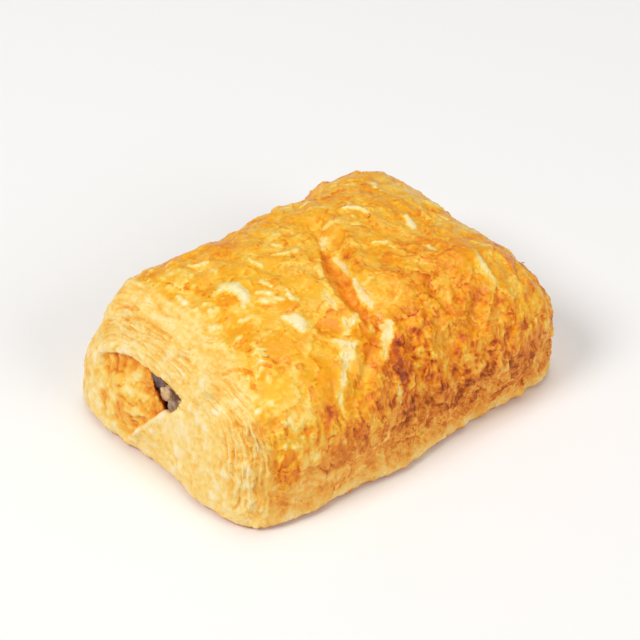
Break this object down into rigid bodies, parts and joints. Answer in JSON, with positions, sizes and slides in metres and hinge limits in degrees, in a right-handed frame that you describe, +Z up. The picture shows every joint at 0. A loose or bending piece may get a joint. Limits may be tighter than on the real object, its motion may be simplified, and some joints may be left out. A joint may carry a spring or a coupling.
{
  "type": "chicken puff",
  "caption": "Rectangular baked puff pastry parcel with a flaky golden crust, its end open under a folded lip that lets the savoury filling show; rests on a flat underside.",
  "frame": {"origin": "bottom centre of the bounding box, on the underside that the puff rests on", "axes": "+X along the puff, away from its open end; +Y across it; +Z up, out of the glazed top"},
  "size_m": [0.1164, 0.0856, 0.0443],
  "materials": {
    "crust": "baked puff pastry, golden, egg-glazed on top and matte on the sides",
    "filling": "moist cooked meat and onion"
  },
  "bodies": {
    "root": {"crust": "crust", "filling": "filling"}
  },
  "joints": []
}
